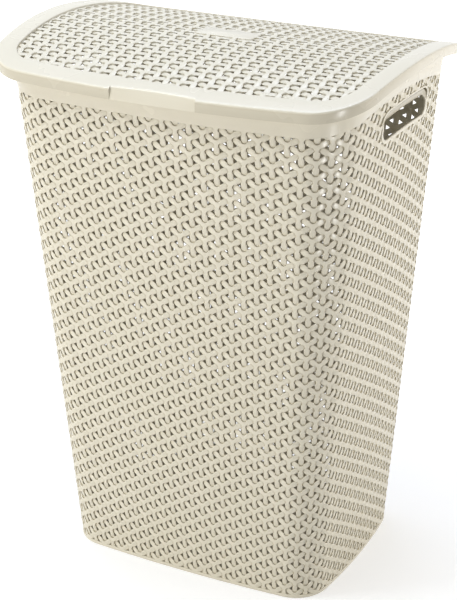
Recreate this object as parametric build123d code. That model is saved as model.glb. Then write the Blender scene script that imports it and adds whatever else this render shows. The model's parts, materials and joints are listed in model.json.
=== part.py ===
from build123d import *
import math
import os

# Laundry hamper with a hinged lid: two plastic mouldings, the basket and the lid.
# Millimetres, +Z up, the lid's tab faces -Y, origin at the middle of the footprint on the floor.

# The lid, whose top is part of a cylinder that runs from side to side
HEIGHT = 606.0
LID_WIDTH = 449.5
LID_DEPTH = 338.0
LID_CORNER = 60.3
LID_BOW = 6.9
LID_WALL = 2.4
ARCH_RADIUS = 491.0
ARCH_PEAK_Y = -12.5
SKIRT_HEIGHT = 11.4
FRAME_WIDTH = 22.3
PANEL_DROP = 2.4
PANEL_STEP_WALL = 1.6

# The tab that the fingers lift: a sloping facet in the middle of the front skirt
TAB_WIDTH = 98.0
TAB_FOOT_INSET = 0.8
TAB_SET_BACK = 5.5
TAB_CLEARANCE = 0.8

# The basket's outside, at the floor and at the shoulder
BASE_WIDTH = 325.3
BASE_DEPTH = 241.3
BASE_CORNER = 40.0
SHOULDER_HEIGHT = 566.0
SHOULDER_WIDTH = 409.0
SHOULDER_DEPTH = 302.1
SHOULDER_CORNER = 51.7
BASKET_BOW = 4.0
BASKET_WALL = 2.4
FLOOR_RAISE = 3.0
FLOOR_THICKNESS = 2.6

# The rim that the lid's frame rests on, and the bead under it that stiffens the wall
SEAT_GAP = 0.3
RIM_TO_SKIRT = 3.0
RIM_THICKNESS = 2.4
RIM_LIP_WALL = 1.8
LIP_ABOVE_SKIRT_EDGE = 1.5
RIM_BEAD = 3.0
BEAD_BELOW_SKIRT_EDGE = 2.0
PANEL_CLEARANCE = 0.6

# The two carrying slots, bent a little like the lid's arch, with a smooth border
GRIP_LENGTH = 120.0
GRIP_HEIGHT = 21.8
GRIP_BELOW_TOP = 67.5
GRIP_BEND_RADIUS = 600.0
GRIP_BORDER = 4.0

# The woven fields of the walls and of the lid's panel, whose mean lies behind the smooth bands.
# The weave itself is too fine for this model, so a plain staggered grid of triangles opens it.
WEAVE_RECESS = 0.75
BASE_BAND = 4.0
TOP_BAND_DEPTH = 35.8
PATCH_LENGTH = 68.0
PATCH_WIDTH = 26.0
PATCH_CORNER = 4.0
PATCH_Y = -5.0
OPENING_SIDE = 10.0
OPENING_ROWS = 16
OPENING_ROW_STEP = 33.6
OPENING_TOP_Z = 528.0
FRONT_OPENINGS = 10
SIDE_OPENINGS = 6
LID_OPENINGS = 12
LID_OPENING_ROWS = 8

# The two snap hinges at the back: a pin between two ribs, and a hook that clips over it
HINGE_X = 100.0
PIN_RADIUS = 2.5
PIN_CLEARANCE = 0.06
HOOK_WALL = 1.9
HOOK_WIDTH = 24.0
HOOK_MOUTH = 4.0
HOOK_INSET = 0.5
HOOK_SIDE_GAP = 0.8
RIB_THICKNESS = 3.0
RIB_END_RADIUS = 4.0
RIB_TO_SKIRT = 1.5
RIB_FOOT = 14.0


def outline(width, depth, corner, bow, inset=0.0):
    """Face on the XY plane: a rounded rectangle whose sides bulge out by bow, all arcs tangent."""
    half_x = width / 2 - inset
    half_y = depth / 2 - inset
    radius = corner - inset
    centre_x = half_x - bow - radius
    centre_y = half_y - bow - radius
    long_x = (centre_x ** 2 + bow ** 2) / (2 * bow)
    long_y = (centre_y ** 2 + bow ** 2) / (2 * bow)
    front_dir = Vector(centre_x / long_x, (bow - long_x) / long_x)
    side_dir = Vector((long_y - bow) / long_y, -centre_y / long_y)
    corner_at = Vector(centre_x, -centre_y)
    front_end = corner_at + front_dir * radius
    side_end = corner_at + side_dir * radius
    middle = corner_at + (front_dir + side_dir).normalized() * radius

    def turned(point, sign_x, sign_y):
        return (point.X * sign_x, point.Y * sign_y)

    edges = []
    for sign_x, sign_y in ((1, 1), (1, -1), (-1, -1), (-1, 1)):
        ends = (turned(front_end, sign_x, sign_y), turned(side_end, sign_x, sign_y))
        edges.append(ThreePointArc(ends[0], turned(middle, sign_x, sign_y), ends[1]))
    for sign in (1, -1):
        edges.append(ThreePointArc(turned(front_end, -1, sign), (0, -half_y * sign),
                                   turned(front_end, 1, sign)))
        edges.append(ThreePointArc(turned(side_end, sign, 1), (half_x * sign, 0),
                                   turned(side_end, sign, -1)))
    return make_face(edges)


def lid_outline(inset=0.0):
    return outline(LID_WIDTH, LID_DEPTH, LID_CORNER, LID_BOW, inset)


def lid_prism(inset=0.0):
    """Upright block with the lid's outline, taller than everything."""
    return extrude(Pos(0, 0, -HEIGHT) * lid_outline(inset), 3 * HEIGHT)


def arch_z(y, depth):
    """Height, at a given y, of the surface that lies depth below the lid's arched top."""
    radius = ARCH_RADIUS - depth
    return HEIGHT - ARCH_RADIUS + math.sqrt(radius ** 2 - (y - ARCH_PEAK_Y) ** 2)


def under_arch(depth):
    """Everything that lies at least depth below the lid's arched top."""
    front = -0.6 * LID_DEPTH
    back = 0.6 * LID_DEPTH
    top = ThreePointArc((front, arch_z(front, depth)), (ARCH_PEAK_Y, arch_z(ARCH_PEAK_Y, depth)),
                        (back, arch_z(back, depth)))
    sides = Polyline((back, arch_z(back, depth)), (back, -HEIGHT), (front, -HEIGHT),
                     (front, arch_z(front, depth)))
    plane = Plane(origin=(0, 0, 0), x_dir=(0, 1, 0), z_dir=(1, 0, 0))
    return extrude(plane * make_face([top, sides]), LID_WIDTH, both=True)


def lid_back_y(x):
    """Where the lid's back edge lies at a given x."""
    centre_x = LID_WIDTH / 2 - LID_BOW - LID_CORNER
    radius = LID_CORNER + (centre_x ** 2 + LID_BOW ** 2) / (2 * LID_BOW)
    return LID_DEPTH / 2 - radius + math.sqrt(radius ** 2 - x ** 2)


def basket_size(z):
    """Width, depth and corner radius of the basket's outside at a height."""
    share = z / SHOULDER_HEIGHT
    width = BASE_WIDTH + (SHOULDER_WIDTH - BASE_WIDTH) * share
    depth = BASE_DEPTH + (SHOULDER_DEPTH - BASE_DEPTH) * share
    corner = BASE_CORNER + (SHOULDER_CORNER - BASE_CORNER) * share
    return width, depth, corner


def basket_block(inset, bottom, top):
    """Tapered block inside the basket's outside by inset, between two heights."""
    sections = []
    for z in (bottom, top):
        width, depth, corner = basket_size(z)
        sections.append(Pos(0, 0, z) * outline(width, depth, corner, BASKET_BOW, inset))
    return loft(sections, ruled=True)


def before_facet(behind, beside):
    """Everything in front of the tab's sloping facet, moved back and widened by two margins."""
    front = TAB_FOOT_INSET - LID_DEPTH / 2
    low = arch_z(-LID_DEPTH / 2, SKIRT_HEIGHT)
    top = arch_z(front, 0)
    high = top + SKIRT_HEIGHT
    back = front + (TAB_SET_BACK - TAB_FOOT_INSET) * (high - low) / (top - low)
    profile = Polyline((front + behind, low), (back + behind, high), (2 * front, high),
                       (2 * front, low), close=True)
    plane = Plane(origin=(0, 0, 0), x_dir=(0, 1, 0), z_dir=(1, 0, 0))
    return extrude(plane * make_face(profile), TAB_WIDTH / 2 + beside, both=True)


rim_top_depth = LID_WALL + SEAT_GAP
bead_depth = SKIRT_HEIGHT + BEAD_BELOW_SKIRT_EDGE
rim_inset = LID_WALL + RIM_TO_SKIRT
panel_ring_depth = PANEL_DROP + LID_WALL
lip_depth = SKIRT_HEIGHT - LIP_ABOVE_SKIRT_EDGE
hinge_y = lid_back_y(HINGE_X + HOOK_WIDTH / 2) - HOOK_INSET - HOOK_WALL - PIN_RADIUS
hinge_z = arch_z(lid_back_y(HINGE_X), SKIRT_HEIGHT) - RIB_TO_SKIRT - RIB_END_RADIUS


def x_cylinder(radius, length, x):
    """Cylinder along X round the hinge's axis."""
    return Pos(x, hinge_y, hinge_z) * Rot(0, 90, 0) * Cylinder(radius, length)


def make_rim():
    """Flange that follows the arch, with a lip turned down at its edge and a bead under it."""
    flange = lid_prism(rim_inset) & under_arch(rim_top_depth)
    flange -= under_arch(rim_top_depth + RIM_THICKNESS)
    lip = lid_prism(rim_inset) & under_arch(rim_top_depth)
    lip -= lid_prism(rim_inset + RIM_LIP_WALL)
    lip -= under_arch(lip_depth)
    bead = basket_block(-RIM_BEAD, HEIGHT / 2, HEIGHT) & under_arch(rim_top_depth)
    bead -= under_arch(bead_depth)
    return flange + lip + bead


def make_grip_slot(border=0.0):
    """Solid with the carrying slots' outline, widened by a border, through both side walls."""
    reach = (GRIP_LENGTH - GRIP_HEIGHT) / 2
    sag = GRIP_BEND_RADIUS - math.sqrt(GRIP_BEND_RADIUS ** 2 - reach ** 2)
    line = ThreePointArc((-reach, -sag), (0, 0), (reach, -sag))
    plane = Plane(origin=(0, 0, HEIGHT - GRIP_BELOW_TOP), x_dir=(0, 1, 0), z_dir=(1, 0, 0))
    return extrude(plane * SlotArc(line, GRIP_HEIGHT + 2 * border), LID_WIDTH, both=True)


def make_rim_notch(x, width, depth):
    """Block, open to the front or the back, that cuts the rim back to depth from the lid's edge."""
    side = 1 if depth > 0 else -1
    y = side * LID_DEPTH - depth
    return Pos(x, y, HEIGHT) * Box(width, LID_DEPTH, HEIGHT)


def make_hinge_ribs(side):
    """Two ribs under the rim, with the pin between them."""
    reach = HOOK_WIDTH / 2 + HOOK_SIDE_GAP
    wall_y = basket_size(hinge_z - RIB_FOOT)[1] / 2 - BASKET_BOW - BASKET_WALL
    lip_y = lid_back_y(HINGE_X) - rim_inset - RIM_LIP_WALL / 2
    profile = Polyline((wall_y, hinge_z - RIB_FOOT), (hinge_y, hinge_z - RIB_END_RADIUS),
                       (hinge_y, hinge_z + RIB_END_RADIUS), (lip_y, hinge_z + RIB_END_RADIUS),
                       (lip_y, HEIGHT), (wall_y, HEIGHT), close=True)
    plane = Plane(origin=(0, 0, 0), x_dir=(0, 1, 0), z_dir=(1, 0, 0))
    slab = extrude(plane * make_face(profile), RIB_THICKNESS)
    ribs = x_cylinder(PIN_RADIUS, 2 * (reach + RIB_THICKNESS), side * HINGE_X)
    for start in (-reach - RIB_THICKNESS, reach):
        x = side * HINGE_X + start
        ribs += Pos(x, 0, 0) * slab
        ribs += x_cylinder(RIB_END_RADIUS, RIB_THICKNESS, x + RIB_THICKNESS / 2)
    return ribs & under_arch(rim_top_depth)


def wall_recess():
    """Ring that sets the walls' woven field back between the smooth bands and the grips' borders."""
    ring = basket_block(-1, BASE_BAND, HEIGHT) - basket_block(WEAVE_RECESS, 0, HEIGHT + 1)
    return (ring & under_arch(TOP_BAND_DEPTH)) - make_grip_slot(GRIP_BORDER)


def triangle(column, plane):
    """Opening in the weave: an upright-sided triangle that points left or right by turns."""
    turn = 0 if column % 2 else 180
    shape = Rot(0, 0, turn) * Triangle(a=OPENING_SIDE, b=OPENING_SIDE, c=OPENING_SIDE, rotation=-90)
    return plane * shape


def wall_openings(count, along_x):
    """Triangular bars through two opposite walls, in columns that draw together with the taper."""
    bars = []
    for column in range(count):
        for row in range(OPENING_ROWS):
            z = OPENING_TOP_Z - row * OPENING_ROW_STEP - (column % 2) * OPENING_ROW_STEP / 2
            width, depth, corner = basket_size(z)
            flat = (width if along_x else depth) - 2 * corner
            place = flat * ((column + 0.5) / count - 0.5)
            low = FLOOR_RAISE + FLOOR_THICKNESS + OPENING_SIDE
            if z < low:
                continue
            if along_x:
                plane = Plane(origin=(place, 0, z), x_dir=(1, 0, 0), z_dir=(0, -1, 0))
            else:
                plane = Plane(origin=(0, place, z), x_dir=(0, 1, 0), z_dir=(1, 0, 0))
                near_grip = abs(place) < GRIP_LENGTH / 2 + GRIP_BORDER + OPENING_SIDE
                if near_grip and z > HEIGHT - GRIP_BELOW_TOP - GRIP_HEIGHT - OPENING_SIDE:
                    continue
            bars.append(extrude(triangle(column, plane), LID_WIDTH, both=True))
    return bars


def make_basket():
    """The tapered basket with its raised floor, rim, carrying slots and hinge pins."""
    basket = basket_block(0, 0, HEIGHT) & under_arch(rim_top_depth)
    basket += make_rim()
    notch_width = HOOK_WIDTH + 2 * HOOK_SIDE_GAP
    notch_depth = LID_DEPTH / 2 - hinge_y + PIN_RADIUS + HOOK_WALL + HOOK_SIDE_GAP
    for side in (1, -1):
        basket -= make_rim_notch(side * HINGE_X, notch_width, notch_depth)
        basket += make_hinge_ribs(side)
    basket -= basket_block(BASKET_WALL, FLOOR_RAISE + FLOOR_THICKNESS, HEIGHT)
    basket -= basket_block(BASKET_WALL, -FLOOR_RAISE, FLOOR_RAISE)
    basket -= wall_recess()
    basket -= wall_openings(FRONT_OPENINGS, True)
    basket -= wall_openings(SIDE_OPENINGS, False)
    basket -= make_grip_slot()
    panel_ring = lid_prism(FRAME_WIDTH - PANEL_STEP_WALL - PANEL_CLEARANCE)
    basket -= panel_ring - under_arch(panel_ring_depth + PANEL_CLEARANCE)
    tab_width = TAB_WIDTH + 2 * (LID_WALL + TAB_CLEARANCE)
    basket -= make_rim_notch(0, tab_width, -(TAB_SET_BACK + LID_WALL + TAB_CLEARANCE))
    return basket


def make_hook(side):
    """Hook under the back skirt that clips over a pin, open at the bottom."""
    x = side * HINGE_X
    web_top = arch_z(LID_DEPTH / 2, 0)
    web_middle = Pos(x, LID_DEPTH / 2, (web_top + hinge_z) / 2)
    web = (lid_prism() - lid_prism(LID_WALL)) & web_middle * Box(HOOK_WIDTH, LID_DEPTH, web_top - hinge_z)
    hook = web + x_cylinder(PIN_RADIUS + HOOK_WALL, HOOK_WIDTH, x)
    hook -= x_cylinder(PIN_RADIUS + PIN_CLEARANCE, HOOK_WIDTH + 2, x)
    mouth = Box(HOOK_WIDTH + 2, HOOK_MOUTH, 2 * PIN_RADIUS + 2 * HOOK_WALL)
    return hook - Pos(x, hinge_y, hinge_z - PIN_RADIUS - HOOK_WALL) * mouth


def panel_patch():
    """Upright block with the outline of the smooth patch in the middle of the lid's weave."""
    outline_face = Pos(0, PATCH_Y, -HEIGHT) * RectangleRounded(PATCH_LENGTH, PATCH_WIDTH, PATCH_CORNER)
    return extrude(outline_face, 3 * HEIGHT)


def lid_openings():
    """Upright triangular bars that pierce the lid's woven panel, clear of its patch and its edge."""
    bars = []
    field_x = LID_WIDTH - 2 * (FRAME_WIDTH + 2 * OPENING_SIDE)
    field_y = LID_DEPTH - 2 * (FRAME_WIDTH + OPENING_SIDE)
    for column in range(LID_OPENINGS):
        for row in range(LID_OPENING_ROWS):
            x = field_x * (column / (LID_OPENINGS - 1) - 0.5)
            y = field_y * ((row + 0.5 * (column % 2)) / (LID_OPENING_ROWS - 0.5) - 0.5)
            over_patch = abs(x) < PATCH_LENGTH / 2 + OPENING_SIDE
            over_patch = over_patch and abs(y - PATCH_Y) < PATCH_WIDTH / 2 + OPENING_SIDE
            in_corner = abs(x) + abs(y) > (field_x + field_y) / 2 - LID_CORNER / 2
            if over_patch or in_corner:
                continue
            plane = Plane(origin=(x, y, HEIGHT / 2), x_dir=(1, 0, 0), z_dir=(0, 0, 1))
            bars.append(extrude(triangle(column, plane), HEIGHT))
    return bars


def make_lid():
    """The arched lid: frame, sunken panel, skirt, tab and two hooks."""
    lid = (lid_prism() & under_arch(0)) - under_arch(SKIRT_HEIGHT)
    hollow = lid_prism(LID_WALL) & under_arch(LID_WALL)
    hollow -= lid_prism(FRAME_WIDTH - PANEL_STEP_WALL) - under_arch(panel_ring_depth)
    lid -= hollow - before_facet(LID_WALL, LID_WALL)
    lid -= lid_prism(FRAME_WIDTH) - under_arch(PANEL_DROP)
    lid -= (lid_prism(FRAME_WIDTH) - panel_patch()) - under_arch(PANEL_DROP + WEAVE_RECESS)
    lid -= lid_openings()
    lid -= before_facet(0, 0)
    for side in (1, -1):
        lid += make_hook(side)
    return lid


os.makedirs("parts", exist_ok=True)
for node, solid in (("basket", make_basket()), ("lid", make_lid())):
    export_step(solid, f"parts/{node}.step")
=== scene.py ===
import json
import math

import bmesh
import bpy
import numpy as np
from mathutils import Matrix, Vector


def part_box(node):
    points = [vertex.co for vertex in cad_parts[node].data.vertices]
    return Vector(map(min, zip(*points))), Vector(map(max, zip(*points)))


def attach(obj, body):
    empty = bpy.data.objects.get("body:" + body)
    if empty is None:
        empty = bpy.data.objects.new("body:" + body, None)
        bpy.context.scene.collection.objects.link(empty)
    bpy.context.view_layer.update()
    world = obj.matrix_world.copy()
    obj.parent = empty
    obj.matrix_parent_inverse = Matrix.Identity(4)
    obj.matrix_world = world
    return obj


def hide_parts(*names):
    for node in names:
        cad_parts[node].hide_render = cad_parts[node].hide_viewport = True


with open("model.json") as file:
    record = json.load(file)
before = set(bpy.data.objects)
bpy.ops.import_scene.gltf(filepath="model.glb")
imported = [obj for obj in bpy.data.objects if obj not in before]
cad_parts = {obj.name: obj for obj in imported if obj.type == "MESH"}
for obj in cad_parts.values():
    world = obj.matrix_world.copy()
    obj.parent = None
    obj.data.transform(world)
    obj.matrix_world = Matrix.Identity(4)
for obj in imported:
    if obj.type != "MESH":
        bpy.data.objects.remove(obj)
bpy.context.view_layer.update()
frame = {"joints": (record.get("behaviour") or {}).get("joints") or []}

# Laundry hamper with a hinged lid. Metres, +Z up, -Y is the front, the origin is on the floor.
# The two CAD nodes are plainer mouldings with a coarse grid of openings. This scene puts the pierced
# weave, the smooth bands, the sloping tab and the hinge in their place, from the same sizes.

MM = 0.001

# The lid: its box comes from the CAD lid part, the rest are the part's own sizes
LID_LOW, LID_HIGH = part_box("lid")
HEIGHT = LID_HIGH[2]
LID_WIDTH = LID_HIGH[0] - LID_LOW[0]
LID_DEPTH = 2 * LID_HIGH[1]
LID_CORNER = 60.3 * MM
LID_BOW = 6.9 * MM
LID_SIZES = (LID_WIDTH, LID_DEPTH, LID_CORNER, LID_BOW)
ARCH_RADIUS = 491 * MM
ARCH_PEAK_Y = -12.5 * MM
SKIRT_HEIGHT = 11.4 * MM
FRAME_WIDTH = 22.3 * MM
PANEL_DROP = 2.4 * MM

# The bare patch in the middle of the lid's panel
PATCH_HALF_X, PATCH_HALF_Y, PATCH_CORNER = 34 * MM, 13 * MM, 4 * MM
PATCH_Y = -5 * MM

# The finger tab at the front, and how far it slopes back at its top
TAB_HALF = 49 * MM
TAB_BACK_ENDS = 3.0 * MM
TAB_BACK_MIDDLE = 6.5 * MM

# The basket's outside at the floor and at the shoulder, with straight walls between the two: width,
# depth and corner radius
BASE = (325.3 * MM, 241.3 * MM, 40 * MM)
SHOULDER = (409.0 * MM, 302.1 * MM, 51.7 * MM)
SHOULDER_HEIGHT = 566 * MM
BASKET_BOW = 4.0 * MM
BAND_DEPTH = 35.8 * MM

# The notches in the flange, for the tab and for the hooks. In a notch the flange reaches this far
# down, and its inner part, further in from the lid's edge than this, stays whole
TAB_NOTCH_HALF = 52.2 * MM
TAB_NOTCH_DEPTH = 8.7 * MM
HOOK_NOTCH_DEPTH = 12.3 * MM
FLANGE_UNDER = 5.1 * MM
FLANGE_INSIDE = 15 * MM

# How far the smooth pieces stand out from the weave, in mm
PROUD = 0.12

# The carrying slots, with a border round each and a sloping finger ledge above it. The ledge begins
# where the way out from the slot points up by this share, and is full after this much more
GRIP_HALF = 56.75 * MM
GRIP_MIDDLE_Y = 3.25 * MM
GRIP_HALF_HEIGHT = 10.9 * MM
GRIP_BELOW_TOP = 67.5 * MM
GRIP_BEND_RADIUS = 600 * MM
GRIP_BORDER = 2.6 * MM
GRIP_LEDGE = 9.4 * MM
LEDGE_START, LEDGE_RISE = 0.3, 0.55

# Only points this far out along X are near a slot, and its bend is worked out this far along Y
GRIP_WALL_X = 170 * MM
GRIP_BEND_REACH = 100 * MM

# The hinge: its axis is the joint's, its sizes are the part's own
HINGE_JOINT = next(joint for joint in frame["joints"] if joint["name"] == "lid_hinge")
HINGE_Y, HINGE_Z = HINGE_JOINT["pos_m"][1:]
HINGE_X = 100 * MM
PIN_RADIUS = 2.5 * MM
HOOK_BORE = 2.56 * MM
HOOK_RADIUS = 4.4 * MM
HOOK_WIDTH = 24 * MM
HOOK_GAP = 0.8 * MM
RIB_THICKNESS = 3 * MM
RIB_END = 4 * MM
RIB_FOOT = 14 * MM
RIB_ROOT = 4 * MM
RIB_TOP_INSET = 7 * MM
RIB_TOP_DEPTH = 4 * MM
PIN_ROOT = 1 * MM
WEB_OUTSIDE, WEB_INSIDE, WEB_HEIGHT = 0.1 * MM, 2.3 * MM, 12 * MM

# The weave: raised Y shapes on a triangular lattice, each arm tucked into the next Y's crotch.
# On the walls its columns and rows are counted from the front's middle and from the top
COLUMNS = 84
COLUMNS_PER_PIECE = 7
PITCH = 16.8 * MM
TOP_ROW = 558.6 * MM
FIRST_ROW, ROWS = -2, 34
WEAVE_FOOT = 1.5 * MM

# On the lid they are counted both ways from its middle, which is moved by the phase, and the weave
# reaches this far in under the frame's inner edge
LID_PITCH = 17.48 * MM
LID_COLUMN_STEP = 15.58 * MM
LID_COLUMNS = 13
LID_ROWS = 10
LID_PHASE = (0.0, -7.5 * MM)
PANEL_OVERLAP = 0.8 * MM

# How far past the woven field's edge a Y's centre may lie, in pitches
WALL_Y_REACH, LID_Y_REACH = 0.85, 0.8

# One Y, with its places on the surface in pitches and its heights in metres. Each arm has a
# direction and some room at its end. It dips under the next Y from a start and over a length, and
# its end stops a little above the weave's underside
ARMS = ((-90, 0.0), (30, 0.014), (150, 0.03))
DIP_START, DIP_LENGTH = 0.16, 0.66
ARM_DROP = 1.6 * MM
ARM_END_LIFT = 0.2 * MM

# A strip of it: half its width, how far its crotch lies from the Y's centre, how far its rounded
# edge goes in and down, how much it is crowned, and its thickness
STRIP_HALF = 0.194
CROTCH = 0.18
STRIP_EDGE = 0.035
EDGE_DROP = 0.4 * MM
STRIP_CROWN = 0.2 * MM
WEAVE_THICKNESS = 2.5 * MM

# From column to column, in pitches
COLUMN_STEP = math.sqrt(3) / 2

# Painted shade, from 0 to 1, at the rounded edge and at the foot of an arm's walls, along its straight
# sides and elsewhere
SIDE_PAINTED_SHADE = (0.35, 0.9)
END_PAINTED_SHADE = (0.05, 0.65)

# How far the bake map spreads a Y's feet, in pitches for each pitch, and the map's margin
BAKE_SPLAY = 1.5
BAKE_MARGIN = 0.01

# Painted shade: the skirt's outside is painted a little darker than the top at the front, except on the
# tab. The shade ends at this y and fades in over this length towards the front. It holds for points of the
# frame's profile that lie less than this far in and more than this far down, in mm
SKIRT_PAINTED_SHADE = 0.28
SKIRT_TONE_ENDS = -20 * MM
SKIRT_TONE_FADE = 90 * MM
SKIRT_OUTSIDE = 2

# Loops round the basket's smooth pieces and round the lid's frame
BASKET_LOOPS, LID_LOOPS = 336, 360

# The camera: its place, its direction and tilt in degrees, and its lens in mm
CAMERA_PLACE = (0.8221, -1.5568, 1.0696)
CAMERA_AZIMUTH, CAMERA_ELEVATION, CAMERA_ROLL = 27.98, 23.81, -0.545
CAMERA_LENS = 133.59

# The floor's own glow near the hamper, and how far out it begins and ends to grow to plain white
FLOOR_HALF = 3.0
FLOOR_GREY = 0.7
FLOOR_GLOW = 0.45
FLOOR_FADE = (0.3, 1.6)

# How strongly the white all round lights the hamper
WORLD_STRENGTH = 0.42

BASKET, LID = "basket_body", "lid_body"


# ---------------------------------------------------------------- outlines and surfaces

def outline_arcs(width, depth, corner, bow):
    """The corner arc's centre, and how far the long arcs' radii go beyond the corner's."""
    corner_x = width / 2 - bow - corner
    corner_y = depth / 2 - bow - corner
    long_x = (corner_x ** 2 + bow ** 2) / (2 * bow)
    long_y = (corner_y ** 2 + bow ** 2) / (2 * bow)
    return corner_x, corner_y, long_x, long_y


def quarter_arcs(width, depth, corner, bow):
    """The angles of the long arcs in a quarter of the outline, the lengths of the front's arc and
    of the corner's, and the length of the whole quarter."""
    corner_x, corner_y, long_x, long_y = outline_arcs(width, depth, corner, bow)
    front = np.arcsin(corner_x / long_x)
    side = np.arcsin(corner_y / long_y)
    front_length = (long_x + corner) * front
    corner_length = corner * (np.pi / 2 - front - side)
    return front, side, front_length, corner_length, front_length + corner_length + (long_y + corner) * side


def outline_at(turn, width, depth, corner, bow):
    """Point and outward direction at a share of the way round, from the front's middle towards +X."""
    corner_x, corner_y, long_x, long_y = outline_arcs(width, depth, corner, bow)
    front, side, front_length, corner_length, quarter = quarter_arcs(width, depth, corner, bow)
    quarters = np.mod(turn, 1) * 4
    quadrant = np.floor(quarters)
    along = (quarters - quadrant) * quarter
    along = np.where(quadrant % 2 == 1, quarter - along, along)
    past_front = along - front_length
    past_corner = past_front - corner_length
    on_front = past_front < 0
    on_side = past_corner > 0
    angle = np.where(on_front, along / (long_x + corner), front + past_front / corner)
    angle = np.where(on_side, np.pi / 2 - side + past_corner / (long_y + corner), angle)
    radius = np.where(on_front, long_x + corner, np.where(on_side, long_y + corner, corner))
    centre_x = np.where(on_front, 0, np.where(on_side, corner_x + bow - long_y, corner_x))
    centre_y = np.where(on_front, long_x - corner_y - bow, np.where(on_side, 0, -corner_y))
    out_x, out_y = np.sin(angle), -np.cos(angle)
    flip_x = np.where(quadrant >= 2, -1, 1)
    flip_y = np.where((quadrant == 1) | (quadrant == 2), -1, 1)
    x = (centre_x + radius * out_x) * flip_x
    y = (centre_y + radius * out_y) * flip_y
    return x, y, out_x * flip_x, out_y * flip_y


def arch_z(y, depth):
    """Height of the surface that lies depth below the lid's arched top."""
    radius = ARCH_RADIUS - depth
    return HEIGHT - ARCH_RADIUS + np.sqrt(radius ** 2 - (y - ARCH_PEAK_Y) ** 2)


def wall_size(z):
    """The basket's width, depth and corner radius at a height."""
    share = z / SHOULDER_HEIGHT
    return [low + (high - low) * share for low, high in zip(BASE, SHOULDER)]


def wall_at(turn, z, out):
    """Point on the basket's wall, moved outwards by out."""
    x, y, out_x, out_y = outline_at(turn, *wall_size(z), BASKET_BOW)
    return np.stack(np.broadcast_arrays(x + out_x * out, y + out_y * out, z), -1)


def wall_under_arch(turn, depth, out):
    """Point on the basket's wall that lies depth below the lid's arched top."""
    z = HEIGHT - depth + 0 * turn
    # The wall's y depends on z, so z settles in a few rounds
    for _ in range(4):
        z = arch_z(wall_at(turn, z, out)[..., 1], depth)
    return wall_at(turn, z, out)


def side_wall_at(side, y, z, out):
    """Point on the basket's left or right wall at a given y."""
    width, depth, corner = wall_size(z)
    corner_x, corner_y, long_x, long_y = outline_arcs(width, depth, corner, BASKET_BOW)
    radius = long_y + corner
    angle = np.arcsin(y / radius)
    x = corner_x + BASKET_BOW - long_y + (radius + out) * np.cos(angle)
    return np.stack(np.broadcast_arrays(side * x, y + out * np.sin(angle), z), -1)


def lid_at(turn, inset, depth):
    """Point at a distance in from the lid's edge, and at a depth below its arched top."""
    x, y, out_x, out_y = outline_at(turn, *LID_SIZES)
    y = y - out_y * inset
    return np.stack(np.broadcast_arrays(x - out_x * inset, y, arch_z(y, depth)), -1)


def lid_inset(x, y):
    """How far in from the lid's edge a point lies, and the direction outwards."""
    corner_x, corner_y, long_x, long_y = outline_arcs(*LID_SIZES)
    centres = ((0, corner_y + LID_BOW - long_x), (corner_x + LID_BOW - long_y, 0), (corner_x, corner_y))
    radii = (long_x + LID_CORNER, long_y + LID_CORNER, LID_CORNER)
    vectors = [np.stack([abs(x) - centre[0], abs(y) - centre[1]], -1) for centre in centres]
    lengths = [np.linalg.norm(vector, axis=-1) + 1e-9 for vector in vectors]
    on_front = vectors[0][..., 0] < lengths[0] * corner_x / long_x
    on_side = vectors[1][..., 1] < lengths[1] * corner_y / long_y
    insets = [radius - length for radius, length in zip(radii, lengths)]
    # An arc that doesn't face the point gets an inset of 1, which is never the least
    insets[0] = np.where(on_front, insets[0], 1)
    insets[1] = np.where(on_side, insets[1], 1)
    insets[2] = np.where(on_front | on_side, 1, insets[2])
    nearest = np.argmin(insets, axis=0)
    directions = [vector / length[..., None] for vector, length in zip(vectors, lengths)]
    direction = np.choose(nearest[..., None], directions)
    return np.min(insets, axis=0), direction * np.stack([np.sign(x), np.sign(y)], -1)


def lid_turn(x):
    """Share of the way round at which the lid's front edge reaches x."""
    radius = outline_arcs(*LID_SIZES)[2] + LID_CORNER
    quarter = quarter_arcs(*LID_SIZES)[-1]
    return math.asin(x / radius) * radius / (4 * quarter)


def lid_back_y(x):
    """Where the lid's back edge lies at x."""
    return lid_at(0.5 - lid_turn(abs(x)), 0, 0)[1]


# ---------------------------------------------------------------- meshes

def make_piece(name, points, faces, material, body, node, sharp=40):
    """Mesh object from an array of points and a list of arrays of faces, riding on a body. It is
    shaded smooth, but for edges that turn by more than sharp degrees."""
    mesh = bpy.data.meshes.new(name)
    mesh.vertices.add(len(points))
    mesh.vertices.foreach_set("co", np.asarray(points, dtype=np.float32).ravel())
    corners = np.concatenate([group.ravel() for group in faces])
    sizes = np.concatenate([np.full(len(group), group.shape[1]) for group in faces])
    mesh.loops.add(len(corners))
    mesh.loops.foreach_set("vertex_index", corners.astype(np.int32))
    mesh.polygons.add(len(sizes))
    mesh.polygons.foreach_set("loop_start", (np.cumsum(sizes) - sizes).astype(np.int32))
    mesh.update(calc_edges=True)
    mesh.validate()
    mesh.polygons.foreach_set("use_smooth", np.ones(len(mesh.polygons), dtype=bool))
    mesh.set_sharp_from_angle(angle=math.radians(sharp))
    mesh.materials.append(material)
    piece = bpy.data.objects.new(name, mesh)
    bpy.context.scene.collection.objects.link(piece)
    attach(piece, body)
    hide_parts(node)
    return piece


def mark_painted_shades(piece, depths, domain):
    """Stores the share of painted shade at each point or corner, from 0 to 1, that darkens the plastic's
    colour towards its shade colour.
    """
    painted_shade = piece.data.attributes.new("painted_shade", "FLOAT", domain)
    painted_shade.data.foreach_set("value", depths.astype(np.float32))


def clean(piece):
    """Joins points that coincide, drops faces with no width and turns the rest outwards."""
    work = bmesh.new()
    work.from_mesh(piece.data)
    bmesh.ops.remove_doubles(work, verts=work.verts, dist=1e-6)
    bmesh.ops.dissolve_degenerate(work, edges=work.edges, dist=1e-6)
    bmesh.ops.recalc_face_normals(work, faces=work.faces)
    work.to_mesh(piece.data)
    work.free()
    return piece


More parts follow.
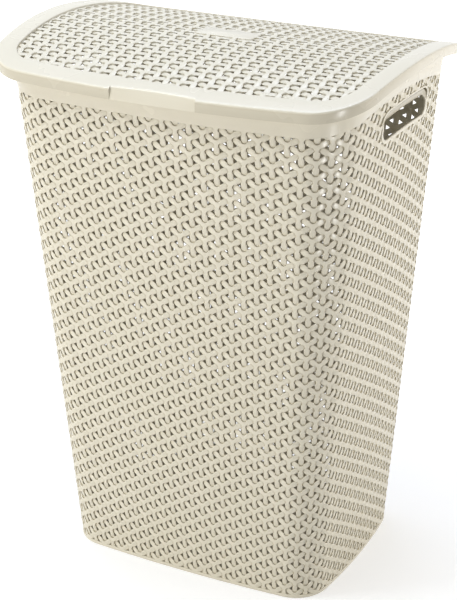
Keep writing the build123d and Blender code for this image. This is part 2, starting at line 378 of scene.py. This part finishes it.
def grid_faces(rows, columns):
    """Quads of a grid of points that closes both ways."""
    row = np.arange(rows)[:, None]
    column = np.arange(columns)[None, :]
    next_row = (row + 1) % rows
    next_column = (column + 1) % columns
    quads = [row * columns + column, next_row * columns + column,
             next_row * columns + next_column, row * columns + next_column]
    return np.stack(np.broadcast_arrays(*quads), -1).reshape(-1, 4)


def capped_faces(loops, rings):
    """Quads of a loft that isn't closed from its last ring to its first, and a cap on both."""
    quads = grid_faces(loops, rings).reshape(loops, rings, 4)[:, :-1].reshape(-1, 4)
    around = np.arange(loops) * rings
    return [quads, around[None], around[None] + rings - 1]


def loop_turns(count, cuts):
    """Shares of the way round for a loft's loops, doubled at both ends of each cut, and which cut
    each loop lies in, or -1. A cut is its middle and its half length."""
    loops = []
    for step in range(count):
        turn = step / count
        away = [abs((turn - centre + 0.5) % 1 - 0.5) for centre, half in cuts]
        inside = [k for k, (centre, half) in enumerate(cuts) if away[k] < half]
        loops.append((turn, 0, inside[0] if inside else -1))
    for k, (centre, half) in enumerate(cuts):
        loops += [((centre - half) % 1, -1, -1), ((centre - half) % 1, 1, k)]
        loops += [((centre + half) % 1, -1, k), ((centre + half) % 1, 1, -1)]
    loops.sort()
    return np.array([loop[0] for loop in loops]), np.array([loop[2] for loop in loops])


# ---------------------------------------------------------------- the woven Y

def crotch_curve(angle):
    """Distance from the Y's centre and offset sideways along the rounded crotch."""
    corner = STRIP_HALF * math.sqrt(3)
    return CROTCH + (corner - CROTCH) * (1 - np.cos(angle)), STRIP_HALF * np.sin(angle)


def arm_ends(across):
    """Half of an arm that points along X, at its two ends, in steps from its middle to its edge.
    Near is round the Y's crotch, far is the rounded end in the next Y's crotch, and each is given
    at the foot and at the top, which is set in by the rounded edge."""
    crotch_axis = np.array([0.5, COLUMN_STEP])
    crotch_side = np.array([COLUMN_STEP, -0.5])
    near, near_top, far, far_top = [np.zeros(2)], [np.zeros(2)], [], []
    for j in range(across):
        angle = j / (across - 1) * math.pi / 2
        forward, sideways = crotch_curve(angle)
        inwards = -math.cos(angle) * crotch_axis + math.sin(angle) * crotch_side
        if j == across - 1:
            # Where two arms' straight sides meet, the top is set in from both
            inwards = np.array([1 / math.sqrt(3), -1])
        near.append(forward * crotch_axis + sideways * crotch_side)
        near_top.append(near[-1] + STRIP_EDGE * inwards)
    for j in range(across + 1):
        forward, sideways = crotch_curve(j / across * math.pi / 2)
        far.append(np.array([1 - forward, sideways]))
        far_top.append(np.array([1 - forward - STRIP_EDGE / 2, sideways * (1 - STRIP_EDGE / STRIP_HALF)]))
    return near, near_top, far, far_top


def arm_height(place):
    """Height of an arm's top: it dips towards the next Y, and is a little crowned across."""
    share = np.clip((place[0] - DIP_START) / DIP_LENGTH, 0, 1)
    dip = ARM_DROP * (1 - math.cos(math.pi * share)) / 2
    return -dip - STRIP_CROWN * (place[1] / STRIP_HALF) ** 2


def y_shape(across=4, along=4):
    """One raised Y for a pitch of 1: places on the surface, heights in metres, how far each point is
    splayed in the bake map, and its quads and triangles with each corner's share of painted shade."""
    ends = arm_ends(across)
    places, heights, splays, quads, triangles, depths = [], [], [], [], [], []

    def add(place, height, splay=(0, 0)):
        places.append(place)
        heights.append(height)
        splays.append(splay)
        return len(places) - 1

    # The steps along the rim of an arm, on one side and on the other, and all the way round it
    right = [(0, j) for j in range(-1, -across - 1, -1)]
    right += [(i, -across) for i in range(1, along + 1)]
    right += [(along, j) for j in range(-across + 1, 0)]
    left = [(i, -j) for i, j in right]
    path = right + [(along, 0)] + left[::-1]

    for direction, gap in ARMS:
        cosine, sine = math.cos(math.radians(direction)), math.sin(math.radians(direction))
        turned = np.array([[cosine, sine], [-sine, cosine]])
        top, edge, foot = {}, {}, {}
        for i in range(along + 1):
            share = i / along
            short = np.array([gap * share, 0])
            for j in range(-across, across + 1):
                near, near_top, far, far_top = (end[abs(j)] * (1, 1 if j >= 0 else -1) for end in ends)
                top_place = near_top * (1 - share) + far_top * share - short
                foot_place = near * (1 - share) + far * share
                height = arm_height(top_place)
                top[i, j] = add(top_place @ turned, height)
                edge[i, j] = ((foot_place - short) @ turned, height - EDGE_DROP)
                foot[i, j] = (foot_place @ turned, (foot_place - top_place) @ turned)
        for i in range(along):
            for j in range(-across, across):
                quads.append((top[i, j], top[i + 1, j], top[i + 1, j + 1], top[i, j + 1]))
                depths.append((0, 0, 0, 0))

        # The walls under the rim, from the top to the rounded edge and from there to the foot
        middle, bottom, wall_shades = {}, {}, {}
        for i, j in path:
            on_side = i > 0 and abs(j) == across
            on_end = i == along and abs(j) < across
            place, outwards = foot[i, j]
            wall_shades[i, j] = SIDE_PAINTED_SHADE if on_side else END_PAINTED_SHADE
            middle[i, j] = add(*edge[i, j])
            bottom[i, j] = add(place, (ARM_END_LIFT if on_end else 0) - WEAVE_THICKNESS, outwards)
        for a, b in zip(path[:-1], path[1:]):
            quads.append((middle[a], middle[b], top[b], top[a]))
            quads.append((bottom[a], bottom[b], middle[b], middle[a]))
            # Painted shade down the walls, darkest at the foot
            (edge_a, foot_a), (edge_b, foot_b) = wall_shades[a], wall_shades[b]
            depths += [(edge_a, edge_b, 0, 0), (foot_a, foot_b, edge_b, edge_a)]

        # The underside, from side to side, with a triangle at each end
        for k in range(len(right) - 1):
            quads.append((bottom[right[k]], bottom[left[k]], bottom[left[k + 1]], bottom[right[k + 1]]))
            depths.append((0, 0, 0, 0))
        centre = add(np.zeros(2), -WEAVE_THICKNESS)
        triangles.append((centre, bottom[left[0]], bottom[right[0]]))
        triangles.append((bottom[right[-1]], bottom[left[-1]], bottom[along, 0]))

    # Points that the three arms have in common become one
    places, heights = np.array(places), np.array(heights)
    keys = np.round(np.column_stack([places * 1e5, heights * 1e8])).astype(int)
    _, first, merged = np.unique(keys, axis=0, return_index=True, return_inverse=True)
    merged = merged.ravel()
    quads, triangles = merged[np.array(quads)], merged[np.array(triangles)]
    faces = ((quads, np.array(depths)), (triangles, np.zeros(triangles.shape)))
    return places[first], heights[first], np.array(splays)[first], faces


Y_PLACES, Y_HEIGHTS, Y_SPLAYS, Y_FACES = y_shape()


def weave_mesh(name, points, clipped, flat, material, body, node):
    """One piece from many Ys. Points holds each Y's corners, clipped says which of them were moved
    off the field, and flat is where they lie on the unrolled surface. Faces whose corners were all
    clipped are left out."""
    offsets = (np.arange(len(points)) * len(Y_PLACES))[:, None, None]
    groups, depths = [], []
    for shape, shape_shades in Y_FACES:
        faces = (shape[None] + offsets).reshape(-1, shape.shape[1])
        kept = ~clipped.ravel()[faces].all(axis=1)
        groups.append(faces[kept])
        depths.append(np.tile(shape_shades, (len(points), 1))[kept].ravel())
    piece = make_piece(name, points.reshape(-1, 3), groups, material, body, node, sharp=50)
    # Painted shade in the weave's crevices, for each face corner
    mark_painted_shades(piece, np.concatenate(depths), "CORNER")
    flat = (flat + BAKE_SPLAY * Y_SPLAYS).reshape(-1, 2)
    flat = (flat - flat.min(axis=0)) / (flat.max(axis=0) - flat.min(axis=0))
    flat = flat * (1 - 2 * BAKE_MARGIN) + BAKE_MARGIN
    corners = np.empty(len(piece.data.loops), dtype=np.int32)
    piece.data.loops.foreach_get("vertex_index", corners)
    layer = piece.data.uv_layers.new(name="OFBake")
    layer.uv.foreach_set("vector", flat[corners].astype(np.float32).ravel())
    return piece


# ---------------------------------------------------------------- the basket

def grip_line(y):
    """Height of the carrying slot's bent middle line."""
    bend = np.sqrt(GRIP_BEND_RADIUS ** 2 - y ** 2) - GRIP_BEND_RADIUS
    return HEIGHT - GRIP_BELOW_TOP + bend


def upper_share(normal_z):
    """1 along the slot's upper edge, 0 along its lower edge and round most of its ends."""
    share = np.clip((normal_z - LEDGE_START) / LEDGE_RISE, 0, 1)
    return share * share * (3 - 2 * share)


def near_grip(y):
    """Y kept within the stretch for which the slot's bend is worked out."""
    return np.clip(y, -GRIP_BEND_REACH, GRIP_BEND_REACH)


def clear_grip(points, heights):
    """Pushes weave points out of the slot and its border. Returns which ones it moved."""
    x, y, z = points[..., 0], points[..., 1], points[..., 2]
    reach = GRIP_HALF - GRIP_HALF_HEIGHT
    above = z - grip_line(near_grip(y))
    middle = np.clip(y, GRIP_MIDDLE_Y - reach, GRIP_MIDDLE_Y + reach)
    length = np.hypot(y - middle, above) + 1e-9
    normal_y, normal_z = (y - middle) / length, above / length
    limit = GRIP_HALF_HEIGHT + GRIP_BORDER + (GRIP_LEDGE - GRIP_BORDER) * upper_share(normal_z)
    inside = (length < limit) & (abs(x) > GRIP_WALL_X)
    new_y = near_grip(np.where(inside, middle + normal_y * limit, y))
    new_z = np.where(inside, normal_z * limit + grip_line(new_y), z)
    moved = side_wall_at(np.sign(x), new_y, new_z, heights)
    return np.where(inside[..., None], moved, points), inside


def make_wall_weave(material):
    """The pierced wall, in pieces of a few columns each."""
    for piece in range(COLUMNS // COLUMNS_PER_PIECE):
        centres = []
        for column in range(piece * COLUMNS_PER_PIECE, (piece + 1) * COLUMNS_PER_PIECE):
            for row in range(FIRST_ROW, ROWS):
                z = TOP_ROW - row * PITCH - (PITCH / 2 if column % 2 == 0 else 0)
                y = wall_at(column / COLUMNS, z, 0)[1]
                if z - WALL_Y_REACH * PITCH < arch_z(y, BAND_DEPTH) and z > -PITCH / 2:
                    centres.append((column, z))
        centres = np.array(centres)
        turn = (centres[:, None, 0] + Y_PLACES[None, :, 0] / COLUMN_STEP) / COLUMNS
        z = centres[:, None, 1] + Y_PLACES[None, :, 1] * PITCH
        low = z < WEAVE_FOOT
        heights = np.broadcast_to(Y_HEIGHTS[None], z.shape)
        points, moved = clear_grip(wall_at(turn, np.maximum(z, WEAVE_FOOT), heights), heights)
        gone = moved.all(axis=1)
        flat = (centres * (COLUMN_STEP, 1 / PITCH))[:, None] + Y_PLACES[None]
        weave_mesh(f"basket_weave_{piece + 1:02d}", points[~gone], (moved | low)[~gone], flat[~gone],
                   material, BASKET, "basket")


# Cross-section of the smooth band and the flange, in mm. Points on the wall are given by how far out
# from it and how deep below the lid's top they lie, the others by how far in from the lid's edge
RIM_PROFILE = [
    ("wall", -0.3, 35.8), ("wall", PROUD, 35.3), ("wall", PROUD, 26), ("wall", 0.35, 21.5),
    ("wall", 1.1, 17.5), ("wall", 2.1, 14.9), ("wall", 3.0, 13.6), ("wall", 3.1, 5.1),
    ("lid", 7.2, 5.1), ("lid", 7.2, 10.0), ("lid", 6.9, 10.3), ("lid", 5.7, 10.3), ("lid", 5.4, 10.0),
    ("lid", 5.4, 3.3), ("lid", 6.0, 2.7), ("lid", 19.6, 2.7), ("lid", 20.1, 3.2), ("lid", 20.1, 6.3),
    ("wall", -3.1, 6.3), ("wall", -3.1, 35.6), ("wall", -2.9, 35.8),
]


def make_rim(material):
    """The smooth band, its cove under the lid, and the flange that the lid rests on."""
    near, beyond = (lid_turn(HINGE_X + side * (HOOK_WIDTH / 2 + HOOK_GAP)) for side in (-1, 1))
    middle, half = (near + beyond) / 2, (beyond - near) / 2
    cuts = [(0, lid_turn(TAB_NOTCH_HALF)), (0.5 - middle, half), (0.5 + middle, half)]
    depths = [TAB_NOTCH_DEPTH, HOOK_NOTCH_DEPTH, HOOK_NOTCH_DEPTH]
    turns, inside = loop_turns(BASKET_LOOPS, cuts)
    cut_back = np.where(inside < 0, 0, np.array(depths)[inside])
    rings = []
    for kind, across, depth in RIM_PROFILE:
        across, depth = across * MM, depth * MM
        if kind == "wall":
            rings.append(wall_under_arch(turns, depth, across))
        elif across > FLANGE_INSIDE:
            rings.append(lid_at(turns, across, depth))
        else:
            low = np.where(cut_back > 0, np.minimum(depth, FLANGE_UNDER), depth)
            rings.append(lid_at(turns, np.maximum(across, cut_back), low))
    points = np.stack(rings, 1)
    faces = [grid_faces(len(turns), len(rings))]
    clean(make_piece("basket_rim", points.reshape(-1, 3), faces, material, BASKET, "basket"))


# Cross-section of the rim at the floor, in mm: distance out from the wall, and height
BASE_PROFILE = [
    (-2.4, 3.0), (-2.4, 0.3), (-2.1, 0), (-0.7, 0), (-0.1, 0.6), (PROUD, 1.6), (PROUD, 3.6),
    (-0.4, 4.2), (-3.1, 4.4), (-3.1, 5.6),
]


def make_base(material):
    """The smooth rim at the floor, with the raised floor inside it."""
    turns = np.arange(BASKET_LOOPS) / BASKET_LOOPS
    points = np.stack([wall_at(turns, z * MM, out * MM) for out, z in BASE_PROFILE], 1)
    faces = capped_faces(len(turns), len(BASE_PROFILE))
    clean(make_piece("basket_base", points.reshape(-1, 3), faces, material, BASKET, "basket"))


# Each ring round a slot: how far it lies from the slot's edge and out from the wall, in mm, first
# along the slot's lower edge and ends, then along its upper edge, and its share of painted shade
GRIP_RINGS = [
    ((0, -3.1), (0, -4.6), 0.6),
    ((0, -0.8), (0, -2.8), 0.5),
    ((0.3, -0.2), (0.3, -2.1), 0.1),
    ((0.9, PROUD), (0.9, -1.8), 0.1),
    ((1.2, PROUD), (1.4, -2.3), 0.5),
    ((1.5, PROUD), (6.4, -1.7), 0.5),
    ((1.6, PROUD), (6.6, -3.0), 1.0),
    ((1.7, PROUD), (7.7, -3.0), 1.0),
    ((1.9, PROUD), (7.9, -0.4), 0.9),
    ((2.2, PROUD), (8.3, PROUD), 0.0),
    ((3.9, PROUD), (10.2, PROUD), 0.0),
    ((4.3, -0.4), (10.6, -0.4), 0.3),
    ((4.3, -3.1), (10.6, -3.1), 0.6),
]

# Rings further in than this, in mm, get their painted shade all the way round, the others only along the
# ledge
GRIP_DEEP = -0.3


def make_grips(material):
    """The smooth border round each carrying slot, with the finger ledge that slopes in above it."""
    reach = GRIP_HALF - GRIP_HALF_HEIGHT
    straight_steps, end_steps = 32, 20
    middles, normals = [], []
    for sign in (1, -1):
        for k in range(straight_steps):
            middles.append(GRIP_MIDDLE_Y + sign * reach * (2 * k / straight_steps - 1))
            normals.append(-math.pi / 2 * sign)
        for k in range(end_steps):
            middles.append(GRIP_MIDDLE_Y + sign * reach)
            normals.append(sign * (-math.pi / 2) + math.pi * k / end_steps)
    middles, normals = np.array(middles), np.array(normals)
    upper = upper_share(np.sin(normals))
    for side, name in ((1, "right"), (-1, "left")):
        rings, painted_shades = [], []
        for lower_ring, upper_ring, depth in GRIP_RINGS:
            away, out = (low * (1 - upper) + high * upper for low, high in zip(lower_ring, upper_ring))
            distance = GRIP_HALF_HEIGHT + away * MM
            y = middles + np.cos(normals) * distance
            z = np.sin(normals) * distance + grip_line(y)
            rings.append(side_wall_at(side, y, z, out * MM))
            # Painted shade on the finger ledge and inside the slot
            in_wall = 1 if lower_ring[1] < GRIP_DEEP else 0
            painted_shades.append(depth * np.maximum(upper, in_wall))
        points = np.stack(rings, 1)
        faces = [grid_faces(len(middles), len(rings))]
        grip = make_piece(f"{name}_grip", points.reshape(-1, 3), faces, material, BASKET, "basket")
        mark_painted_shades(grip, np.stack(painted_shades, 1).ravel(), "POINT")
        clean(grip)


def extrude_x(profile, x_low, x_high):
    """Closed solid from a (y, z) outline, between two places along X. Returns points and faces."""
    profile = np.array(profile)
    count = len(profile)
    low = np.column_stack([np.full(count, x_low), profile])
    high = np.column_stack([np.full(count, x_high), profile])
    ring = np.arange(count)
    after = (ring + 1) % count
    sides = np.stack([ring, after, after + count, ring + count], -1)
    return np.concatenate([low, high]), [sides, ring[::-1][None], ring[None] + count]


def join(shapes):
    """Several (points, faces) shapes as one."""
    points, groups, offset = [], [], 0
    for shape_points, shape_faces in shapes:
        points.append(shape_points)
        groups += [group + offset for group in shape_faces]
        offset += len(shape_points)
    return np.concatenate(points), groups


def arc(radius, start, stop, count):
    """Points (y, z) on an arc round the hinge's axis, between two angles in degrees."""
    angles = np.radians(np.linspace(start, stop, count))
    return [(HINGE_Y + radius * math.cos(a), HINGE_Z + radius * math.sin(a)) for a in angles]


def soften(piece, width):
    """Rounds a piece's edges a little."""
    bevel = piece.modifiers.new("soft_edges", "BEVEL")
    bevel.width = width
    bevel.segments = 2
    bevel.limit_method = "ANGLE"
    return piece


def make_hinges(material):
    """At each hinge, two ribs with a pin between them on the basket, and a hook on the lid."""
    reach = HOOK_WIDTH / 2 + HOOK_GAP
    wall_y = wall_at(0.5, HINGE_Z - RIB_FOOT, 0)[1] - RIB_ROOT
    top_y = lid_back_y(HINGE_X) - RIB_TOP_INSET
    web_y = lid_back_y(HINGE_X + HOOK_WIDTH / 2)
    rib = [(wall_y, HINGE_Z - RIB_FOOT)] + arc(RIB_END, -110, 90, 14) + [(top_y, HINGE_Z + RIB_END)]
    rib += [(y, float(arch_z(y, RIB_TOP_DEPTH))) for y in (top_y, wall_y)]
    pin = arc(PIN_RADIUS, 0, 345, 24)
    clip = arc(HOOK_RADIUS, -63, 243, 32) + arc(HOOK_BORE, 231, -51, 28)
    web = [(web_y - WEB_INSIDE, HINGE_Z), (web_y - WEB_OUTSIDE, HINGE_Z),
           (web_y - WEB_OUTSIDE, HINGE_Z + WEB_HEIGHT), (web_y - WEB_INSIDE, HINGE_Z + WEB_HEIGHT)]
    ribs, hooks = [], []
    for middle in (-HINGE_X, HINGE_X):
        for start in (-reach - RIB_THICKNESS, reach):
            ribs.append(extrude_x(rib, middle + start, middle + start + RIB_THICKNESS))
        ribs.append(extrude_x(pin, middle - reach - PIN_ROOT, middle + reach + PIN_ROOT))
        for profile in (clip, web):
            hooks.append(extrude_x(profile, middle - HOOK_WIDTH / 2, middle + HOOK_WIDTH / 2))
    for name, shapes, body, node in (("hinge_ribs", ribs, BASKET, "basket"),
                                     ("hinge_hooks", hooks, LID, "lid")):
        points, faces = join(shapes)
        soften(clean(make_piece(name, points, faces, material, body, node, sharp=30)), 0.3 * MM)


# ---------------------------------------------------------------- the lid

# Cross-section of the lid's frame and skirt, in mm: distance in from the edge, and depth below the
# arched top
FRAME_PROFILE = [
    (22.3, 5.6), (22.3, 1.4), (22.0, 0.9), (21.3, 0.65), (12, 0.35), (4.0, 0.05), (1.8, 0.0), (1.0, 0.1),
    (0.35, 0.42), (0, 1.1), (0, 2.2), (0, 10.7), (0.2, 11.2), (0.6, 11.4), (1.9, 11.4), (2.4, 11.0),
    (2.4, 3.4), (3.4, 2.4), (20.7, 2.4), (20.7, 5.6),
]


def make_lid_frame(material):
    """The lid's smooth arched frame and skirt, with the sloping tab in the front."""
    turns, inside = loop_turns(LID_LOOPS, [(0, lid_turn(TAB_HALF))])
    x, y, _ = lid_at(turns, 0, 0).T
    middle_share = np.clip(1 - (x / TAB_HALF) ** 2, 0, 1)
    set_back = TAB_BACK_ENDS + (TAB_BACK_MIDDLE - TAB_BACK_ENDS) * middle_share
    set_back = np.where(inside >= 0, set_back, 0)
    rings = []
    for inset, depth in FRAME_PROFILE:
        shift = set_back * max(0, 1 - depth * MM / SKIRT_HEIGHT) * max(0, 1 - inset * MM / FRAME_WIDTH)
        rings.append(lid_at(turns, inset * MM + shift, depth * MM))
    points = np.stack(rings, 1)
    faces = [grid_faces(len(turns), len(rings))]
    frame_piece = make_piece("lid_frame", points.reshape(-1, 3), faces, material, LID, "lid")
    # Painted shade on the front of the skirt's outside, none on the tab
    on_skirt = np.array([inset < SKIRT_OUTSIDE < depth for inset, depth in FRAME_PROFILE])
    front_share = np.clip((SKIRT_TONE_ENDS - y) / SKIRT_TONE_FADE, 0, 1)
    depths = np.where(inside >= 0, 0, SKIRT_PAINTED_SHADE * front_share)[:, None] * on_skirt[None]
    mark_painted_shades(frame_piece, depths.ravel(), "POINT")
    clean(frame_piece)


def make_lid_weave(material):
    """The sunken pierced panel, in a left and a right half."""
    limit = FRAME_WIDTH - PANEL_OVERLAP
    for name, columns in (("left", range(-LID_COLUMNS, 0)), ("right", range(0, LID_COLUMNS + 1))):
        centres = []
        for column in columns:
            for row in range(-LID_ROWS, LID_ROWS + 1):
                x = LID_PHASE[0] + column * LID_COLUMN_STEP
                y = LID_PHASE[1] + (row + (0.5 if column % 2 else 0)) * LID_PITCH
                inset = lid_inset(np.array(x), np.array(y))[0]
                if abs(y) < LID_DEPTH / 2 and inset > limit - LID_Y_REACH * LID_PITCH:
                    centres.append((x, y))
        centres = np.array(centres)
        x = centres[:, None, 0] + Y_PLACES[None, :, 0] * LID_COLUMN_STEP / COLUMN_STEP
        y = centres[:, None, 1] + Y_PLACES[None, :, 1] * LID_PITCH
        inset, outwards = lid_inset(x, y)
        over = np.maximum(limit - inset, 0)
        x = x - outwards[..., 0] * over
        y = y - outwards[..., 1] * over
        points = np.stack([x, y, arch_z(y, PANEL_DROP - Y_HEIGHTS[None])], -1)
        moved = over > 0
        gone = moved.all(axis=1)
        flat = centres[:, None] / LID_PITCH + Y_PLACES[None]
        weave_mesh(f"lid_weave_{name}", points[~gone], moved[~gone], flat[~gone], material, LID, "lid")


# The patch's rings, in mm: how much wider than the patch, and height above the panel
PATCH_PROFILE = [(0, -3.1), (0, -0.3), (-0.5, 0.1)]


def make_lid_patch(material):
    """The small smooth patch in the middle of the lid's weave, left bare."""
    corner_steps = np.radians(np.linspace(0, 90, 7))
    x, y = [], []
    for quarter, (sign_x, sign_y) in enumerate(((1, 1), (-1, 1), (-1, -1), (1, -1))):
        angles = corner_steps + quarter * math.pi / 2
        x += list(sign_x * (PATCH_HALF_X - PATCH_CORNER) + PATCH_CORNER * np.cos(angles))
        y += list(sign_y * (PATCH_HALF_Y - PATCH_CORNER) + PATCH_CORNER * np.sin(angles))
    x, y = np.array(x), np.array(y)
    rings = []
    for grow, out in PATCH_PROFILE:
        scale_x = 1 + grow * MM / PATCH_HALF_X
        scale_y = 1 + grow * MM / PATCH_HALF_Y
        place_y = PATCH_Y + y * scale_y
        rings.append(np.stack([x * scale_x, place_y, arch_z(place_y, PANEL_DROP - out * MM)], -1))
    points = np.stack(rings, 1)
    faces = capped_faces(len(x), len(PATCH_PROFILE))
    clean(make_piece("lid_patch", points.reshape(-1, 3), faces, material, LID, "lid"))


# ---------------------------------------------------------------- materials

def linear(red, green, blue):
    """Scene-linear colour from one given as 0 to 255."""
    channels = [channel / 255 for channel in (red, green, blue)]
    return [c / 12.92 if c <= 0.04045 else ((c + 0.055) / 1.055) ** 2.4 for c in channels] + [1]


def mix_colours(nodes, links, share, low, high):
    """Colour between two others, by a share. The low one is a list or another node's output."""
    mix = nodes.new("ShaderNodeMix")
    mix.data_type = "RGBA"
    mix.inputs["B"].default_value = high
    if isinstance(low, list):
        mix.inputs["A"].default_value = low
    else:
        links.new(low, mix.inputs["A"])
    links.new(share, mix.inputs["Factor"])
    return mix.outputs["Result"]


def noise(nodes, links, place, scale, detail):
    """Value of a noise in the piece's own space, from 0 to 1."""
    texture = nodes.new("ShaderNodeTexNoise")
    texture.inputs["Scale"].default_value = scale
    texture.inputs["Detail"].default_value = detail
    links.new(place.outputs["Object"], texture.inputs["Vector"])
    return texture.outputs["Fac"]


def map_range(nodes, links, value, low, high):
    """Node that brings a value from 0 to 1 to between low and high."""
    ranged = nodes.new("ShaderNodeMapRange")
    ranged.inputs["To Min"].default_value = low
    ranged.inputs["To Max"].default_value = high
    links.new(value, ranged.inputs["Value"])
    return ranged


def math_node(nodes, links, operation, first, second):
    """Value of a math node on two other nodes' values."""
    node = nodes.new("ShaderNodeMath")
    node.operation = operation
    links.new(first, node.inputs[0])
    links.new(second, node.inputs[1])
    return node.outputs[0]


def make_plastic(name, light, dark, painted_shade, roughness):
    """Moulded polypropylene: a faintly uneven tone, painted shade that darkens it where a piece stores a
    share of it (crevices, the slot's ledge, the front of the lid's skirt), a soft gloss and a fine moulded
    grain."""
    material = bpy.data.materials.new(name)
    material.use_nodes = True
    nodes, links = material.node_tree.nodes, material.node_tree.links
    shader = nodes["Principled BSDF"]
    shader.inputs["IOR"].default_value = 1.49
    place = nodes.new("ShaderNodeTexCoord")
    cloud = noise(nodes, links, place, scale=14, detail=3)
    grain = noise(nodes, links, place, scale=900, detail=2)
    # Painted shade: the stored share mixes the tone towards the dark shade colour
    depth = nodes.new("ShaderNodeAttribute")
    depth.attribute_name = "painted_shade"
    tone = mix_colours(nodes, links, cloud, linear(*dark), linear(*light))
    tone = mix_colours(nodes, links, depth.outputs["Fac"], tone, linear(*painted_shade))
    gloss = map_range(nodes, links, cloud, roughness - 0.02, roughness + 0.04)
    bump = nodes.new("ShaderNodeBump")
    bump.inputs["Strength"].default_value = 0.05
    bump.inputs["Distance"].default_value = 0.15 * MM
    links.new(grain, bump.inputs["Height"])
    links.new(tone, shader.inputs["Base Color"])
    links.new(gloss.outputs["Result"], shader.inputs["Roughness"])
    links.new(bump.outputs["Normal"], shader.inputs["Normal"])
    return material


def seen_directly(nodes, links):
    """1 for rays from the camera, a glossy surface or a clear one, which show the background."""
    path = nodes.new("ShaderNodeLightPath").outputs
    mirrored = math_node(nodes, links, "MAXIMUM", path["Is Camera Ray"], path["Is Glossy Ray"])
    return math_node(nodes, links, "MAXIMUM", mirrored, path["Is Transmission Ray"])


def make_floor():
    """Pale floor that keeps the shadow, with the plain white of the background where it is lit."""
    mesh = bpy.data.meshes.new("floor")
    signs = ((-1, -1), (1, -1), (1, 1), (-1, 1))
    mesh.from_pydata([(x * FLOOR_HALF, y * FLOOR_HALF, 0) for x, y in signs], [], [(0, 1, 2, 3)])
    floor = bpy.data.objects.new("floor", mesh)
    bpy.context.scene.collection.objects.link(floor)
    material = bpy.data.materials.new("floor_white")
    material.use_nodes = True
    nodes, links = material.node_tree.nodes, material.node_tree.links
    matt = nodes["Principled BSDF"]
    matt.inputs["Base Color"].default_value = (FLOOR_GREY, FLOOR_GREY, FLOOR_GREY, 1)
    matt.inputs["Roughness"].default_value = 1
    matt.inputs["Specular IOR Level"].default_value = 0
    place = nodes.new("ShaderNodeTexCoord")
    reach = nodes.new("ShaderNodeVectorMath")
    reach.operation = "LENGTH"
    links.new(place.outputs["Object"], reach.inputs[0])
    lift = map_range(nodes, links, reach.outputs["Value"], FLOOR_GLOW, 1.0)
    lift.inputs["From Min"].default_value, lift.inputs["From Max"].default_value = FLOOR_FADE
    shown = math_node(nodes, links, "MULTIPLY", lift.outputs["Result"], seen_directly(nodes, links))
    glow = nodes.new("ShaderNodeEmission")
    links.new(shown, glow.inputs["Strength"])
    both = nodes.new("ShaderNodeAddShader")
    links.new(matt.outputs[0], both.inputs[0])
    links.new(glow.outputs[0], both.inputs[1])
    links.new(both.outputs[0], nodes["Material Output"].inputs["Surface"])
    mesh.materials.append(material)


def make_world():
    """White behind everything, and an even soft light from all round."""
    world = bpy.data.worlds.new("studio")
    bpy.context.scene.world = world
    world.use_nodes = True
    nodes, links = world.node_tree.nodes, world.node_tree.links
    background = nodes["Background"]
    background.inputs["Color"].default_value = (1, 1, 1, 1)
    strength = map_range(nodes, links, seen_directly(nodes, links), WORLD_STRENGTH, 1.0)
    links.new(strength.outputs["Result"], background.inputs["Strength"])


def make_lamp(name, place, target, size, watts, colour):
    """Rectangular soft lamp that the camera doesn't see."""
    light = bpy.data.lights.new(name, "AREA")
    light.shape = "RECTANGLE"
    light.size, light.size_y = size
    light.energy = watts
    light.color = colour
    lamp = bpy.data.objects.new(name, light)
    lamp.location = place
    aim = Vector(target) - Vector(place)
    lamp.rotation_euler = aim.to_track_quat("-Z", "Y").to_euler()
    lamp.visible_camera = False
    bpy.context.scene.collection.objects.link(lamp)
    return lamp


def make_lamps():
    """Light from above and from the upper left, low fills without a gloss for the front and the
    right side, and a small lamp that gives only a gloss, for the front right corner's highlight."""
    make_lamp("overhead", place=(-0.3, 0.3, 2.2), target=(0, 0, HEIGHT), size=(1.3, 1.3), watts=24,
              colour=(0.74, 0.82, 1.0))
    make_lamp("key", place=(-1.07, -1.02, 2.2), target=(0, 0, 0.4), size=(0.6, 0.6), watts=17,
              colour=(0.92, 0.97, 1))
    front_left = make_lamp("front_left", place=(-0.9, -1.7, 0.22), target=(0, 0, 0.2), size=(0.8, 0.4),
                           watts=15, colour=(1, 0.97, 0.9))
    back_right = make_lamp("back_right", place=(1.7, 0.6, 0.35), target=(0, 0, 0.2), size=(1.0, 0.6),
                           watts=14.5, colour=(1, 0.97, 0.92))
    strip = make_lamp("strip", place=(0.92, -0.6, 0.24), target=(0, 0, 0.4), size=(0.14, 0.2),
                      watts=2.4, colour=(1, 1, 1))
    front_left.visible_glossy = False
    back_right.visible_glossy = False
    strip.visible_diffuse = False


def make_camera():
    """The camera, looking from its azimuth and elevation and turned by its roll."""
    azimuth, elevation = math.radians(CAMERA_AZIMUTH), math.radians(CAMERA_ELEVATION)
    roll = math.radians(CAMERA_ROLL)
    back = Vector((math.sin(azimuth) * math.cos(elevation), -math.cos(azimuth) * math.cos(elevation),
                   math.sin(elevation)))
    right = Vector((0, 0, 1)).cross(back).normalized()
    up = back.cross(right)
    turned_right = math.cos(roll) * right + math.sin(roll) * up
    turned_up = math.cos(roll) * up - math.sin(roll) * right
    data = bpy.data.cameras.new("camera")
    data.sensor_width = 36
    data.sensor_fit = "HORIZONTAL"
    data.lens = CAMERA_LENS
    camera = bpy.data.objects.new("camera", data)
    axes = Matrix((turned_right, turned_up, back)).transposed().to_4x4()
    camera.matrix_world = Matrix.Translation(CAMERA_PLACE) @ axes
    bpy.context.scene.collection.objects.link(camera)
    bpy.context.scene.camera = camera


# The third colour is painted shade, for the weave's crevices, the slot's ledge and the skirt's front
plastic = make_plastic("beige_plastic", light=(223, 216, 198), dark=(218, 211, 191),
                       painted_shade=(130, 118, 84), roughness=0.26)
make_wall_weave(plastic)
make_rim(plastic)
make_base(plastic)
make_grips(plastic)
make_hinges(plastic)
make_lid_frame(plastic)
make_lid_weave(plastic)
make_lid_patch(plastic)
make_floor()
make_world()
make_lamps()
make_camera()
bpy.context.scene.view_settings.view_transform = "Standard"
